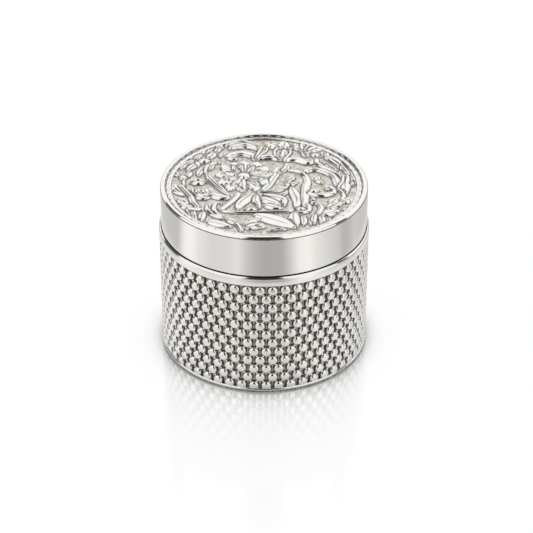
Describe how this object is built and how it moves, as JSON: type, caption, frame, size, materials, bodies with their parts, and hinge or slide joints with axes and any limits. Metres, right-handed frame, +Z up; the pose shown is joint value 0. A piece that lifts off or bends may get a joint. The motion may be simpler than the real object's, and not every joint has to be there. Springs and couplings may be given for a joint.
{
  "type": "rosary box",
  "caption": "Small round silver-toned box with a beaded drum, a plain collar and a lift-off lid whose top has a flower and leaf scrolls in relief; velvet lined.",
  "frame": {"origin": "middle of the underside, on the surface the box stands on", "axes": "+Z up through the middle of the lid, the way the lid lifts; +Y to the back of the relief as pictured, +X to its right"},
  "size_m": [0.045, 0.045, 0.0381],
  "materials": {
    "polished_silver": "polished silver plate",
    "chased_silver": "chased silver plate, bright high points over a matt oxidised ground",
    "velvet": "short-pile velvet"
  },
  "bodies": {
    "box": {"base_plate": "polished_silver", "bead_drum": "polished_silver", "body_collar": "polished_silver", "neck_sleeve": "polished_silver", "wall_lining": "velvet", "floor_lining": "velvet"},
    "lid": {"lid_band": "polished_silver", "lid_backing": "polished_silver", "lid_plate": "chased_silver", "lid_border": "chased_silver", "lid_rim": "polished_silver", "lid_lining": "velvet"}
  },
  "joints": [
    {"name": "lid_lift", "type": "slide", "parent": "box", "child": "lid", "axis": [0, 0, 1], "range_m": [0, 0.02]}
  ]
}
